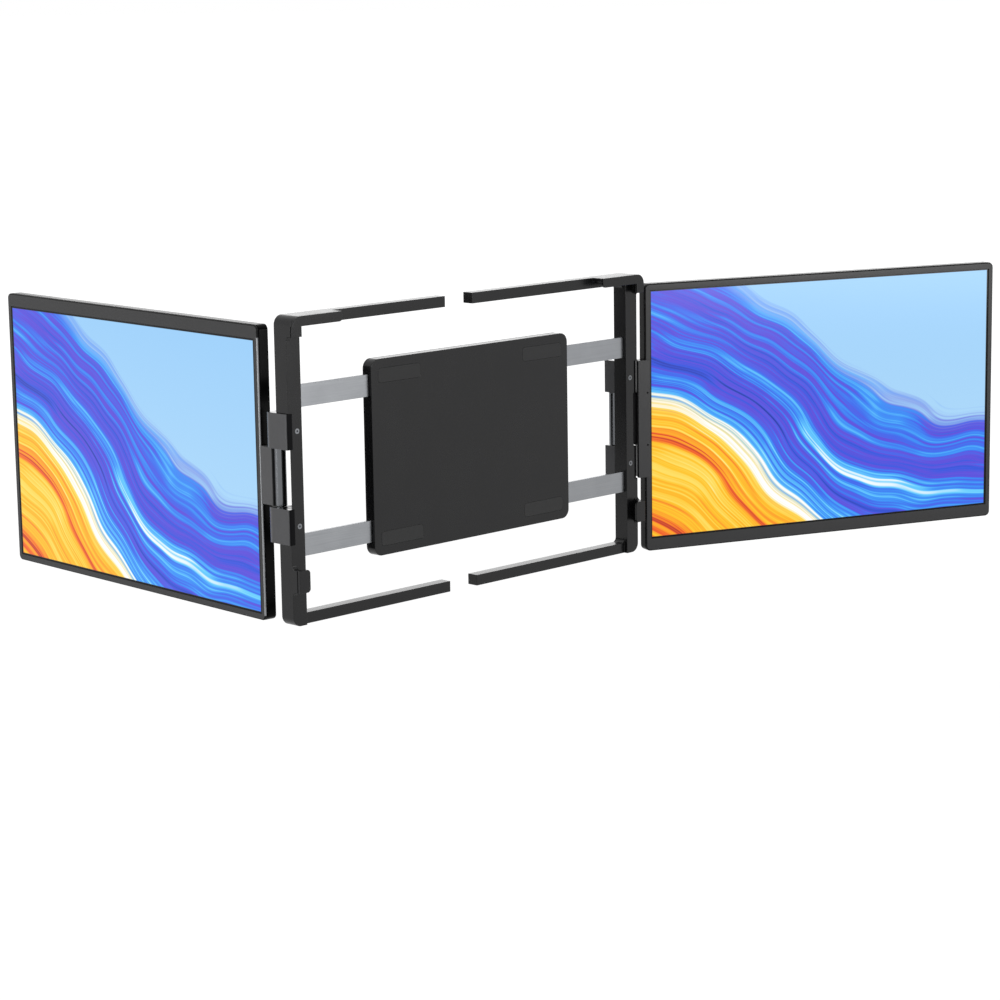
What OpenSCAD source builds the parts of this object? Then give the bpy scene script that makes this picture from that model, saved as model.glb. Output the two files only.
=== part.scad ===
// Laptop screen extender: two folding side screens on a sliding bracket that hooks over a laptop lid.
// X runs along the lid to the user's right, -Y points to the user, +Z is up.
// The origin is the centre of the bracket face that rests on the back of the lid.

/* [Laptop lid] */
// Width of the lid that the bracket is set to
lid_w = 302; // [252:1:363]
// Thickness of the lid that the hooks take
lid_t = 4.5; // [4.2:0.1:7]

/* [Bracket] */
// Height of the two half frames
frame_h = 191; // [160:1:230]
// Distance from the lid's edge to the outer face of a side bar
bar_gap = 5.6; // [3:0.1:8]
// Width of a side bar along the lid
bar_w = 11; // [9:0.5:16]
// Depth of a side bar from the lid's back
bar_d = 11; // [9:0.5:14]
// Height of the top and bottom rails
rail_h = 7; // [5:0.5:9]
// Depth of the top rail
rail_d = 8.2; // [6:0.1:9]
// Corner radius of the half frames
frame_r = 6; // [4:0.5:8.5]
// Free space between the ends of the two top rails
rail_gap = 24; // [12:1:60]
// Distance of that space from the middle, to the left
rail_gap_off = 8.5; // [0:0.5:20]
// Thickness of the hook plates in front of the lid
hook_t = 1.8; // [1.2:0.1:3]
// Length of a top hook along the lid
top_hook_l = 40; // [25:1:60]
// Height of a top hook
top_hook_h = 6.2; // [5:0.1:12]
// Height of the leg at the outer end of a top hook
top_leg_h = 12.5; // [9:0.5:20]
// Height of a side hook
side_hook_h = 14.2; // [10:0.1:20]
// How far a side hook reaches over the lid
side_hook_reach = 3; // [2:0.1:6]
// Height of the side hooks' lower edge above the bottom of the frame
side_hook_z = 21.8; // [14:0.5:40]

/* [Hinge] */
// Diameter of the hinge barrel
barrel_d = 7.5; // [6:0.1:9]
// Diameter of the hinge pin
pin_d = 4; // [3:0.1:5]
// Radial clearance of the barrel on its pin
pin_clear = 0.05; // [0.02:0.01:0.1]
// Height of the turning knuckle
knuckle_h = 36; // [24:1:44]
// Height of each hinge block
block_h = 22; // [14:1:28]
// End gap between knuckle and block
block_gap = 0.3; // [0.2:0.05:0.6]
// How far a block stands proud of the side bar
block_proud = 1.2; // [0.6:0.1:2]
// Distance from the hinge axis to the block's outer face
block_r = 7.25; // [6:0.05:9]

/* [Screens] */
// Width of the lit panel
panel_w = 270.2; // [240:0.1:270.2]
// Height of the lit panel
panel_h = 170; // [150:1:178]
// Bezel beside the hinge
bezel_hinge = 4; // [3:0.1:8]
// Bezel on the far side
bezel_far = 4.4; // [3:0.1:8]
// Bezel on the narrow long edge
bezel_thin = 4.7; // [3:0.1:8]
// Bezel on the wide long edge, over the driver board
bezel_chin = 9.2; // [6:0.1:14]
// Thickness of a screen
screen_t = 8.6; // [8.2:0.1:9]
// Corner radius of a screen
screen_r = 3.5; // [2:0.5:6]
// Wall of the plastic shells
wall = 1.4; // [1:0.1:2]

/* [Pose] */
// Left screen, folded back from straight
left_back = 93.3; // [0:0.1:95]
// Right screen, swung forward from straight
right_forward = 21.2; // [0:0.1:28]

/* [Centre body] */
// Width of the centre body
core_w = 176; // [150:1:200]
// Height of the centre body
core_h = 124; // [100:1:140]
// Depth of the centre body
core_d = 7.8; // [7.4:0.1:8]
// Height of a slide rail
slide_h = 14; // [8:0.5:18]
// Thickness of a slide rail
slide_t = 2.4; // [1.6:0.1:3]
// Height of the slide rails above and below the middle
slide_z = 46; // [36:1:52]

/* [Hidden] */
$fn = 64;
eps = 0.01;

// bracket
half_w = lid_w / 2 + bar_gap;
lip_in = lid_t + 0.5;
lip_out = lip_in + hook_t;
top_z = frame_h / 2;
rail_y = bar_d - rail_d;
cover_t = 1.2;
inner_r = 3;
left_start = rail_gap / 2 + rail_gap_off;
right_start = rail_gap / 2 - rail_gap_off;
side_wall = 3.4;
top_wall = 2.4;
cover_in = 2;
cover_end = 8;
block_bite = 3;
// hinge
axis_x = half_w + block_proud - block_r;
axis_y = bar_d + 4.5;
hinge_z = -4.2;
block_rear = 4.4;
left_corner = 1.4;
right_corner = 4.5;
block_in = axis_x - 4.95;
block_screw_d = 1.8;
block_head_d = 3.4;
block_head_t = 1.4;
block_screw_x = half_w - bar_w / 2 - 1.5;
rail_screw_d = 2.2;
cover_clear = 0.1;
stud_d = 2.8;
hinge_half = knuckle_h / 2;
// screens
screen_w = bezel_hinge + panel_w + bezel_far;
screen_h = bezel_thin + panel_h + bezel_chin;
front_left = 4.4;
reach_left = 13.9;
stack_gap = 0.4;
front_right = front_left + stack_gap + screen_t;
reach_right = 17;
bezel_t = 1.6;
glass_in = 0.3;
panel_t = 2.2;
board_t = 1;
strip_in = 13.2;
flange_in = 11.4;
strip_flange_t = 2.6;
plate_lap = 2.9;
dimple_d = 1.2;
dimple_t = 0.4;
crank_start = 4.6;
crank_end = 8;
crank_t = 4;
left_notch = 1;
right_notch = 4;
hook_fillet = 2.5;
hook_end_r = 2.2;
leg_w = 7;
seam_w = 0.9;
seam_d = 0.7;
strip_half = hinge_half + block_gap + block_h;
plate_t = 0.6;
tongue_t = 2;
tongue_l = 15;
tongue_y1 = screen_t - wall;
tongue_y0 = tongue_y1 - tongue_t;
tongue_half = hinge_half - 2;
fit = 0.05;
arm_plate_t = 3;
arm_start = 1.4;
// controls on the far edge
power_z = 62;
rocker_z = 40;
port_z = [-38, -54];
button_t = 2.6;
power_l = 8;
rocker_l = 15;
button_proud = 0.1;
button_clear = 0.25;
flange_t = 0.8;
flange_gap = 0.1;
rocker_gap = 0.6;
port_y = 5.5;
port_w = 9.2;
port_t = 3.3;
port_d = 8;
boss_in = 2.3;
boss_d = 2.6;
vent_n = 12;
vent_in = 14;
vent_step = 4;
vent_up = 24;
vent_w = 1.6;
vent_l = 12;
shell_screw_d = 1.4;
shell_head_d = 2.2;
shell_head_t = 0.8;
screw_spots = [
    [boss_in, screen_h / 2 - boss_in],
    [boss_in, -screen_h / 2 + boss_in],
    [screen_w - boss_in, screen_h / 2 - boss_in],
    [screen_w - boss_in, -screen_h / 2 + boss_in]
];
// centre body and kickstand
tray_t = 2;
pad_w = 36;
pad_h = 9;
pad_in = 6;
pad_t = 0.6;
core_r = 6;
tray_rear = core_d - cover_t;
core_screw_d = 2.4;
core_head_d = 3.8;
core_head_t = 0.8;
core_screw_spots = [for (sx = [-1, 1], sz = [-1, 1]) [sx * (core_w / 2 - 12), sz * 32]];
pocket_in = 18;
stand_w = 120;
stand_h = 84;
stand_t = 2.2;
stand_gap = 0.3;
stand_y = core_d + stand_gap;
stand_pin_y = core_d + 1.7;
stand_pin_z = 44;
stand_pin_d = 1.4;
stand_barrel_d = 2.8;
lug_w = 4;
lug_end = core_d + 3.1;
foot_t = 1.2;
slide_in = 24;
slide_clear = 0.3;
slide_y0 = tray_t + slide_clear;
channel_y1 = slide_y0 + slide_t + slide_clear;
slide_seat = 6;
slot_l = 42;
slot_in = 8;
stud_x = slide_in + slot_in + slot_l - 2;
block_screw_z = [
    hinge_z + hinge_half + block_gap + block_h / 2,
    hinge_z - hinge_half - block_gap - block_h / 2
];

black = "#2b2b2c";
satin = "#3d3d3e";
block_grey = "#525254";
steel = "#9a9a9c";
rubber = "#1c1c1c";
glass = "#7fb3d8";
board = "#1f5b3a";

// ---------- shared shapes ----------

// Rectangle with rounded corners, centred
module round_rect(w, h, r) {
    square([w - 2 * r, h], center = true);
    square([w, h - 2 * r], center = true);
    for (sx = [-1, 1], sz = [-1, 1])
        translate([sx * (w / 2 - r), sz * (h / 2 - r)])
            circle(r);
}

// Slab in the X-Z plane from y0 to y1 with the 2D outline of its children
module slab(y0, y1) {
    translate([0, y1, 0])
        rotate([90, 0, 0])
            linear_extrude(y1 - y0)
                children();
}

// Screw with a flat head, pointing along +Y, its head's outer face at y = 0
module screw(head_d, head_t, shank_d, shank_l) {
    rotate([-90, 0, 0]) {
        difference() {
            cylinder(h = head_t, d = head_d);
            translate([0, 0, -eps])
                cylinder(h = head_t * 0.6, d = head_d * 0.45, $fn = 6);
        }
        translate([0, 0, head_t - eps])
            cylinder(h = shank_l, d = shank_d);
    }
}

// ---------- bracket half, drawn for the right side ----------

// Outline of the half frame seen from the front: side bar, top rail and bottom rail
module frame_outline(start, h) {
    difference() {
        union() {
            translate([start, h / 2 - rail_h])
                square([half_w - frame_r - start, rail_h]);
            translate([start, -h / 2])
                square([half_w - frame_r - start, rail_h]);
            translate([half_w - bar_w, -h / 2 + frame_r])
                square([bar_w, h - 2 * frame_r]);
            translate([half_w - frame_r, 0])
                for (sz = [-1, 1])
                    translate([0, sz * (h / 2 - frame_r)])
                        intersection() {
                            circle(frame_r);
                            translate([0, -frame_r])
                                square([frame_r, 2 * frame_r]);
                        }
            translate([half_w - bar_w, -h / 2])
                square([bar_w - frame_r, h]);
            for (sz = [-1, 1])
                translate([half_w - bar_w - inner_r, sz * (h / 2 - rail_h - inner_r / 2) - inner_r / 2])
                    square([inner_r + eps, inner_r]);
        }
        for (sz = [-1, 1])
            translate([half_w - bar_w - inner_r, sz * (h / 2 - rail_h - inner_r)])
                circle(inner_r);
    }
}

// Slanted cut behind the side bar that the knuckle's arm swings through
module knuckle_cut(inset) {
    translate([0, 0, hinge_z - hinge_half - block_gap])
        linear_extrude(knuckle_h + 2 * block_gap)
            polygon([
                [half_w - inset, -1],
                [half_w + 2, -1],
                [half_w + 2, bar_d + 2],
                [half_w - bar_w + 0.6, bar_d + 2],
                [half_w - bar_w + 0.6, bar_d],
                [half_w - inset, 0]
            ]);
}

// Rear face of the side bar without its ends and the hinge blocks
module cover_zone(clear, extra) {
    difference() {
        translate([half_w - bar_w + cover_in + clear, bar_d - cover_t, -top_z + cover_end + clear])
            cube([bar_w - 2 * (cover_in + clear), cover_t + extra, frame_h - 2 * (cover_end + clear)]);
        translate([half_w - bar_w, bar_d - cover_t - 1, hinge_z - strip_half - clear])
            cube([bar_w, cover_t + extra + 2, 2 * (strip_half + clear)]);
    }
}

module frame_half(start, notch) {
    difference() {
        union() {
            intersection() {
                slab(0, bar_d)
                    frame_outline(start, frame_h);
                union() {
                    translate([start - 1, rail_y, -top_z])
                        cube([half_w - start + 1, rail_d, frame_h]);
                    translate([half_w - bar_w, 0, -top_z])
                        cube([bar_w, bar_d, frame_h]);
                }
            }
            hook_side(top_z - top_leg_h, top_z, true);
            hook_side(side_hook_z - top_z, side_hook_z - top_z + side_hook_h, false);
        }
        // shallow seat for the rear cover
        cover_zone(0, 1);
        // seam between the side walls and the hook plates
        translate([half_w - seam_d, -lip_in - 1, -top_z])
            cube([seam_d + 1, seam_w + 1, frame_h - frame_r]);
        knuckle_cut(notch);
        // the hinge blocks bite into the outer side of the bar
        for (z = block_screw_z)
            translate([half_w - block_bite, -1, z - block_h / 2])
                cube([block_bite + 1, bar_d + 2, block_h]);
        for (sz = [-1, 1]) {
            // seat of a slide rail
            translate([half_w - bar_w - 1, slide_y0, sz * slide_z - slide_h / 2])
                cube([slide_seat + 1, slide_t, slide_h]);
            // hole and counterbore of its screw
            translate([half_w - bar_w + slide_seat / 2, slide_y0, sz * slide_z])
                rotate([-90, 0, 0])
                    cylinder(h = bar_d, d = rail_screw_d);
            translate([half_w - bar_w + slide_seat / 2, bar_d - cover_t - 1.2, sz * slide_z])
                rotate([-90, 0, 0])
                    cylinder(h = bar_d, d = rail_screw_d + 1.6);
        }
        // screw holes of the hinge blocks
        for (z = block_screw_z)
            translate([block_screw_x, -1, z])
                rotate([-90, 0, 0]) {
                    cylinder(h = bar_d + 2, d = block_screw_d);
                    cylinder(h = block_head_t + 1 + fit, d = block_head_d + 2 * fit);
                }
    }
}

// Side wall that carries a hook in front of the lid's edge
module hook_side(z0, z1, rounded) {
    intersection() {
        translate([half_w - side_wall, -lip_in, z0])
            cube([side_wall, lip_in + 1, z1 - z0]);
        slab(-lip_out, bar_d)
            frame_outline(0, frame_h);
    }
    // concave fillets where the wall leaves the bar
    for (e = [[z0, -1], [z1, 1]])
        if (e[1] < 0 || !rounded)
            translate([half_w - side_wall, 0, e[0]])
                scale([1, 1, e[1]])
                    difference() {
                        translate([0, -hook_fillet, -eps])
                            cube([side_wall, hook_fillet + eps, hook_fillet + eps]);
                        translate([-1, -hook_fillet, hook_fillet])
                            rotate([0, 90, 0])
                                cylinder(h = side_wall + 2, r = hook_fillet);
                    }
    if (rounded)
        intersection() {
            translate([half_w - top_hook_l, -lip_in, top_z - top_wall])
                cube([top_hook_l, lip_in + rail_y + 1, top_wall]);
            slab(-lip_out, bar_d)
                frame_outline(0, frame_h);
        }
}

// Plate in front of the lid's top corner
module top_hook() {
    intersection() {
        slab(-lip_out, -lip_in)
            union() {
                translate([half_w - top_hook_l + hook_end_r, top_z - top_hook_h])
                    square([top_hook_l - hook_end_r, top_hook_h]);
                translate([half_w - top_hook_l, top_z - top_hook_h + hook_end_r])
                    square([top_hook_l, top_hook_h - hook_end_r]);
                translate([half_w - top_hook_l + hook_end_r, top_z - top_hook_h + hook_end_r])
                    circle(hook_end_r);
                translate([half_w - leg_w, top_z - top_leg_h])
                    square([leg_w, top_leg_h]);
            }
        slab(-lip_out - 1, bar_d)
            union() {
                translate([0, -top_z])
                    square([half_w - frame_r, frame_h]);
                translate([0, -top_z])
                    square([half_w, frame_h - frame_r]);
                translate([half_w - frame_r, top_z - frame_r])
                    circle(frame_r);
            }
    }
}

// Small plate in front of the lid's side edge
module side_hook() {
    w = bar_gap + side_hook_reach;
    r = 2.4;
    slab(-lip_out, -lip_in)
        translate([half_w - w, side_hook_z - top_z])
            difference() {
                square([w, side_hook_h]);
                for (z = [0, side_hook_h])
                    translate([0, z])
                        difference() {
                            translate([-eps, z > 0 ? -r : 0])
                                square([r, r + eps]);
                            translate([r, z > 0 ? -r : r])
                                circle(r);
                        }
            }
}

module hook_pads() {
    slab(-lip_in, -lip_in + 0.5)
        translate([half_w - top_hook_l + 3, top_z - top_hook_h + 1])
            square([top_hook_l - bar_gap - 6, 2.6]);
    slab(-lip_in, -lip_in + 0.5)
        translate([half_w - bar_gap - side_hook_reach + 1, side_hook_z - top_z + 3])
            square([side_hook_reach - 1, side_hook_h - 6]);
}

module frame_cover() {
    cover_zone(cover_clear, 0);
}

module slide_rails() {
    for (sz = [-1, 1])
        difference() {
            translate([slide_in, slide_y0, sz * slide_z - slide_h / 2])
                cube([half_w - bar_w + slide_seat - slide_in, slide_t, slide_h]);
            // long slot that the stop stud of the centre body runs in
            translate([slide_in + slot_in, slide_y0 - 1, sz * slide_z - stud_d / 2 - 0.2])
                cube([slot_l, slide_t + 2, stud_d + 0.4]);
            // the rail's screw goes through here
            translate([half_w - bar_w + slide_seat / 2, slide_y0 - 1, sz * slide_z])
                rotate([-90, 0, 0])
                    cylinder(h = slide_t + 2, d = rail_screw_d);
        }
}

module rail_screws() {
    for (sz = [-1, 1])
        translate([half_w - bar_w + slide_seat / 2, bar_d - cover_t, sz * slide_z])
            rotate([180, 0, 0])
                screw(rail_screw_d + 1.4, 1.2, rail_screw_d - 0.1, bar_d - cover_t - slide_y0 - 1.2);
}

// Upper and lower hinge blocks with round backs about the hinge axis
module hinge_block(h, corner) {
    difference() {
        linear_extrude(h) {
            intersection() {
                translate([axis_x, axis_y])
                    circle(block_r);
                translate([block_in, bar_d])
                    square([2 * block_r, axis_y - bar_d + block_rear]);
            }
            translate([block_in, 0])
                square([axis_x + block_r - block_in - corner, axis_y]);
            translate([block_in, corner])
                square([axis_x + block_r - block_in, axis_y - corner]);
            translate([axis_x + block_r - corner, corner])
                circle(corner);
        }
        translate([axis_x, axis_y, -1])
            cylinder(h = h + 2, d = pin_d);
    }
}

module hinge_blocks(corner) {
    difference() {
        for (z = block_screw_z)
            translate([0, 0, z - block_h / 2])
                hinge_block(block_h, corner);
        // room for what is left of the side bar
        translate([half_w - bar_w - 1, -1, -top_z])
            cube([bar_w + 1 - block_bite, bar_d + 1, frame_h]);
        for (z = block_screw_z)
            translate([block_screw_x, bar_d - 1, z])
                rotate([-90, 0, 0])
                    cylinder(h = 2.6, d = block_screw_d);
    }
}

module block_screws() {
    for (z = block_screw_z)
        translate([block_screw_x, 0, z])
            screw(block_head_d, block_head_t, block_screw_d - 2 * fit, bar_d + 1.4 - block_head_t);
}

module hinge_pin() {
    translate([axis_x, axis_y, hinge_z - strip_half])
        cylinder(h = 2 * strip_half, d = pin_d);
}

// ---------- one screen, its hinge side at x = 0 and its front at y = 0 ----------

module screen_outline(grow) {
    translate([screen_w / 2, 0])
        round_rect(screen_w + 2 * grow, screen_h + 2 * grow, screen_r + grow);
}

module rear_shell() {
    difference() {
        union() {
            difference() {
                slab(bezel_t, screen_t)
                    screen_outline(0);
                slab(bezel_t - 1, screen_t - wall)
                    screen_outline(-wall);
            }
            // screw bosses up to the bezel
            for (p = screw_spots)
                translate([p[0], bezel_t, p[1]])
                    rotate([-90, 0, 0])
                        cylinder(h = screen_t - bezel_t - wall + eps, d = boss_d);
        }
        // slot for the hinge tongue
        translate([-1, tongue_y0 - fit, -tongue_half - fit])
            cube([wall + 2, tongue_t + fit, 2 * (tongue_half + fit)]);
        // ports
        for (z = port_z)
            edge_slot(z, port_w + 2 * fit, port_t + 2 * fit);
        // power button and rocker
        for (b = [[power_z, power_l], [rocker_z, rocker_l]])
            edge_slot(b[0], b[1] + 2 * button_clear, button_t + 2 * button_clear);
        vent_slots();
        // screw holes in the back
        for (p = screw_spots)
            translate([p[0], screen_t + 1, p[1]])
                rotate([90, 0, 0]) {
                    cylinder(h = screen_t, d = shell_screw_d + 2 * fit);
                    cylinder(h = shell_head_t + 1 + fit, d = shell_head_d + 2 * fit);
                }
    }
}

// Row of slots in the back that lets the driver board's warm air out
module vent_slots() {
    for (i = [0 : vent_n - 1])
        translate([screen_w - vent_in - i * vent_step, 0, -screen_h / 2 + vent_up])
            slab(screen_t - wall - 1, screen_t + 1)
                round_rect(vent_w, vent_l, vent_w / 2 - eps);
}

// Rounded slot through the wall on the far edge
module edge_slot(z, l, t) {
    translate([screen_w - wall - 1, port_y, z])
        rotate([0, 90, 0])
            linear_extrude(wall + 2)
                round_rect(l, t, t / 2 - eps);
}

module bezel() {
    difference() {
        slab(0, bezel_t)
            screen_outline(0);
        translate([bezel_hinge, -1, -screen_h / 2 + bezel_chin])
            cube([panel_w, bezel_t + 2, panel_h]);
    }
}

module display() {
    translate([bezel_hinge, glass_in, -screen_h / 2 + bezel_chin])
        cube([panel_w, bezel_t - glass_in, panel_h]);
}

module panel_module() {
    translate([bezel_hinge - 0.2, bezel_t, -screen_h / 2 + bezel_chin - 3])
        cube([panel_w + 0.4, panel_t, panel_h + 3.4]);
}

module driver_board() {
    z0 = -screen_h / 2 + 12;
    y0 = screen_t - wall - board_t;
    translate([screen_w - port_d - 56, y0, z0])
        cube([56, board_t, 70]);
    for (c = [[-58, 16, 14], [-40, 40, 10], [-30, 20, 8]])
        translate([screen_w + c[0], y0 - 0.9, z0 + c[1]])
            cube([c[2], 0.9 + eps, c[2]]);
}

module usb_ports() {
    for (z = port_z)
        translate([screen_w - port_d, port_y, z])
            rotate([0, 90, 0])
                difference() {
                    linear_extrude(port_d)
                        round_rect(port_w, port_t, port_t / 2 - eps);
                    translate([0, 0, 1])
                        linear_extrude(port_d)
                            round_rect(port_w - 0.6, port_t - 0.6, port_t / 2 - 0.3 - eps);
                }
    // contact tongues
    for (z = port_z)
        translate([screen_w - port_d + 1 - eps, port_y - 0.35, z - 3.2])
            cube([5.5, 0.7, 6.4]);
}

module edge_button(z, l, gap) {
    translate([screen_w - wall - gap - eps, port_y, z])
        rotate([0, 90, 0])
            linear_extrude(wall + gap + button_proud + eps)
                round_rect(l, button_t, button_t / 2 - eps);
    // inner flange that keeps the button in
    translate([screen_w - wall - gap - flange_t, port_y - button_t / 2 - 0.3, z - l / 2 - 1])
        cube([flange_t, button_t + 0.6, l + 2]);
}

module shell_screws() {
    for (p = screw_spots)
        translate([p[0], screen_t, p[1]])
            rotate([180, 0, 0])
                screw(shell_head_d, shell_head_t, shell_screw_d, screen_t - bezel_t - shell_head_t - 0.6);
}

// ---------- knuckles, drawn in the frame of the hinge axis ----------

// Each runs along +X away from the axis, its display side towards -Y
module barrel() {
    translate([0, 0, -hinge_half])
        cylinder(h = knuckle_h, d = barrel_d);
}

module barrel_bore() {
    translate([0, 0, -hinge_half - 1])
        cylinder(h = knuckle_h + 2, r = pin_d / 2 + pin_clear);
}

// Tongue that goes through the slot into the rear shell
module tongue(reach, front) {
    translate([reach - 1, front + tongue_y0, -tongue_half])
        cube([tongue_l + 1, tongue_t, 2 * tongue_half]);
}

module knuckle_left() {
    difference() {
        union() {
            barrel();
            translate([0, -2.2, -hinge_half])
                cube([reach_left, 4.4, knuckle_h]);
            translate([arm_start, -front_left, -hinge_half])
                cube([reach_left - arm_start, arm_plate_t, knuckle_h]);
            translate([reach_left - 4, -front_left, -hinge_half])
                cube([4, screen_t - 0.8, knuckle_h]);
        }
        barrel_bore();
    }
    tongue(reach_left, -front_left);
}

module knuckle_right() {
    difference() {
        union() {
            barrel();
            // crank that brings the arm forward to the screen's level
            translate([0, -barrel_d / 2, -hinge_half])
                cube([crank_end, barrel_d - 0.4, knuckle_h]);
            translate([crank_start, -front_left - stack_gap - crank_t, -hinge_half])
                cube([crank_end - crank_start, crank_t + stack_gap + 1, knuckle_h]);
            translate([crank_start, -front_left - stack_gap - crank_t, -hinge_half])
                cube([strip_in - crank_start + 1, crank_t, knuckle_h]);
            translate([strip_in, -front_right, -strip_half])
                cube([reach_right - strip_in, screen_t, 2 * strip_half]);
            // flange along the strip's inner side
            translate([flange_in, -front_right - plate_t, -strip_half])
                cube([strip_in - flange_in + 1, strip_flange_t, 2 * strip_half]);
            // cover plate on the bezel's edge
            translate([flange_in, -front_right - plate_t, -strip_half])
                cube([reach_right - flange_in + plate_lap, plate_t, 2 * strip_half]);
        }
        barrel_bore();
        // two dimples in the cover plate
        for (sz = [-1, 1])
            translate([reach_right + plate_lap - 1.6, -front_right - plate_t - 1, sz * hinge_half])
                rotate([-90, 0, 0])
                    cylinder(h = 1 + dimple_t, d = dimple_d);
    }
    tongue(reach_right, -front_right);
}

// ---------- centre body ----------

module centre_tray() {
    color(satin)
    difference() {
        slab(0, tray_rear)
            round_rect(core_w, core_h, core_r);
        // channels for the slide rails, open to the back
        for (sz = [-1, 1])
            translate([-core_w / 2 - 1, tray_t, sz * slide_z - slide_h / 2 - slide_clear])
                cube([core_w + 2, core_d, slide_h + 2 * slide_clear]);
        // pocket in the middle
        translate([-core_w / 2 + pocket_in, tray_t, -slide_z + slide_h / 2 + 4])
            cube([core_w - 2 * pocket_in, core_d, 2 * slide_z - slide_h - 8]);
        for (p = core_screw_spots)
            translate([p[0], tray_t, p[1]])
                rotate([-90, 0, 0])
                    cylinder(h = core_d, d = core_screw_d);
        pad_shapes(-1);
    }
    // stop studs in the slots of the slide rails
    for (sx = [-1, 1], sz = [-1, 1])
        translate([sx * stud_x, tray_t - eps, sz * slide_z])
            rotate([-90, 0, 0])
                cylinder(h = channel_y1 - tray_t + eps, d = stud_d);
}

// Four pads let into the tray's front, from y0 to their depth
module pad_shapes(y0) {
    for (sx = [-1, 1], sz = [-1, 1])
        translate([sx * (core_w / 2 - pad_w / 2 - pad_in), 0, sz * (core_h / 2 - pad_h / 2 - pad_in)])
            slab(y0, pad_t)
                round_rect(pad_w, pad_h, 2);
}

module centre_pads() {
    color(rubber)
        pad_shapes(0);
}

module centre_cover() {
    color(black)
    difference() {
        union() {
            slab(tray_rear, core_d)
                round_rect(core_w, core_h, core_r);
            // ribs that close the channels
            for (sz = [-1, 1])
                translate([-core_w / 2 + 4, channel_y1, sz * slide_z - slide_h / 2 - slide_clear + fit])
                    cube([core_w - 8, tray_rear - channel_y1 + eps, slide_h + 2 * (slide_clear - fit)]);
            // lugs that hold the kickstand's pin
            for (sx = [-1, 1])
                translate([sx * (stand_w / 2 + stand_gap + lug_w / 2) - lug_w / 2, core_d - eps, stand_pin_z - 2.4])
                    cube([lug_w, lug_end - core_d + eps, 4.8]);
        }
        for (p = core_screw_spots)
            translate([p[0], core_d + 1, p[1]])
                rotate([90, 0, 0]) {
                    cylinder(h = cover_t + 2, d = core_screw_d);
                    cylinder(h = core_head_t + 1 + fit, d = core_head_d + 2 * fit);
                }
        translate([-core_w / 2, stand_pin_y, stand_pin_z])
            rotate([0, 90, 0])
                cylinder(h = core_w, d = stand_pin_d);
    }
}

module cover_screws() {
    color(steel)
    for (p = core_screw_spots)
        translate([p[0], core_d, p[1]])
            rotate([180, 0, 0])
                screw(core_head_d, core_head_t, core_screw_d - 2 * fit, core_d - core_head_t - tray_t - 1);
}

module kickstand() {
    color(satin)
    difference() {
        union() {
            slab(stand_y, stand_y + stand_t)
                difference() {
                    translate([0, stand_pin_z - stand_h / 2])
                        round_rect(stand_w, stand_h, 5);
                    // finger notch at the free end
                    translate([0, stand_pin_z - stand_h])
                        circle(9);
                }
            slab(stand_y, stand_y + stand_t)
                translate([-stand_w / 2, stand_pin_z - 8])
                    square([stand_w, 8]);
            translate([-stand_w / 2, stand_pin_y, stand_pin_z])
                rotate([0, 90, 0])
                    cylinder(h = stand_w, d = stand_barrel_d);
        }
        translate([-stand_w / 2 - 1, stand_pin_y, stand_pin_z])
            rotate([0, 90, 0])
                cylinder(h = stand_w + 2, r = stand_pin_d / 2 + pin_clear);
    }
}

module kickstand_pin() {
    color(steel)
    translate([-stand_w / 2 - stand_gap - lug_w, stand_pin_y, stand_pin_z])
        rotate([0, 90, 0])
            cylinder(h = stand_w + 2 * (stand_gap + lug_w), d = stand_pin_d);
}

module kickstand_foot() {
    color(rubber)
    for (sx = [-1, 1])
        translate([sx * 34 - 18, stand_y, stand_pin_z - stand_h - foot_t])
            cube([36, stand_t, foot_t]);
}

// ---------- placing ----------

module on_left() {
    mirror([1, 0, 0])
        children();
}

module left_screen() {
    translate([-axis_x, axis_y, hinge_z])
        rotate([0, 0, -left_back])
            rotate([0, 180, 0])
                children();
}

module right_screen() {
    translate([axis_x, axis_y, hinge_z])
        rotate([0, 0, -right_forward])
            children();
}

module left_unit() {
    left_screen()
        translate([reach_left, -front_left, 0])
            children();
}

module right_unit() {
    right_screen()
        translate([reach_right, -front_right, 0])
            children();
}

// ---------- sub-parts ----------

module left_frame() {
    color(satin)
        on_left()
            frame_half(left_start, left_notch);
}

module left_frame_cover() {
    color(black)
        on_left()
            frame_cover();
}

module left_top_hook() {
    color(satin)
        on_left()
            top_hook();
}

module left_side_hook() {
    color(satin)
        on_left()
            side_hook();
}

module left_hook_pads() {
    color(rubber)
        on_left()
            hook_pads();
}

module left_slide_rails() {
    color(steel)
        on_left()
            slide_rails();
}

module left_rail_screws() {
    color(steel)
        on_left()
            rail_screws();
}

module left_hinge_blocks() {
    color(block_grey)
        on_left()
            hinge_blocks(left_corner);
}

module left_block_screws() {
    color(steel)
        on_left()
            block_screws();
}

module left_hinge_pin() {
    color(steel)
        on_left()
            hinge_pin();
}

module right_frame() {
    color(satin)
        frame_half(right_start, right_notch);
}

module right_frame_cover() {
    color(black)
        frame_cover();
}

module right_top_hook() {
    color(satin)
        top_hook();
}

module right_side_hook() {
    color(satin)
        side_hook();
}

module right_hook_pads() {
    color(rubber)
        hook_pads();
}

module right_slide_rails() {
    color(steel)
        slide_rails();
}

module right_rail_screws() {
    color(steel)
        rail_screws();
}

module right_hinge_blocks() {
    color(block_grey)
        hinge_blocks(right_corner);
}

module right_block_screws() {
    color(steel)
        block_screws();
}

module right_hinge_pin() {
    color(steel)
        hinge_pin();
}

module left_knuckle() {
    color(block_grey)
        left_screen()
            knuckle_left();
}

module left_rear_shell() {
    color(black)
        left_unit()
            rear_shell();
}

module left_bezel() {
    color(black)
        left_unit()
            bezel();
}

module left_display() {
    color(glass)
        left_unit()
            display();
}

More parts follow.
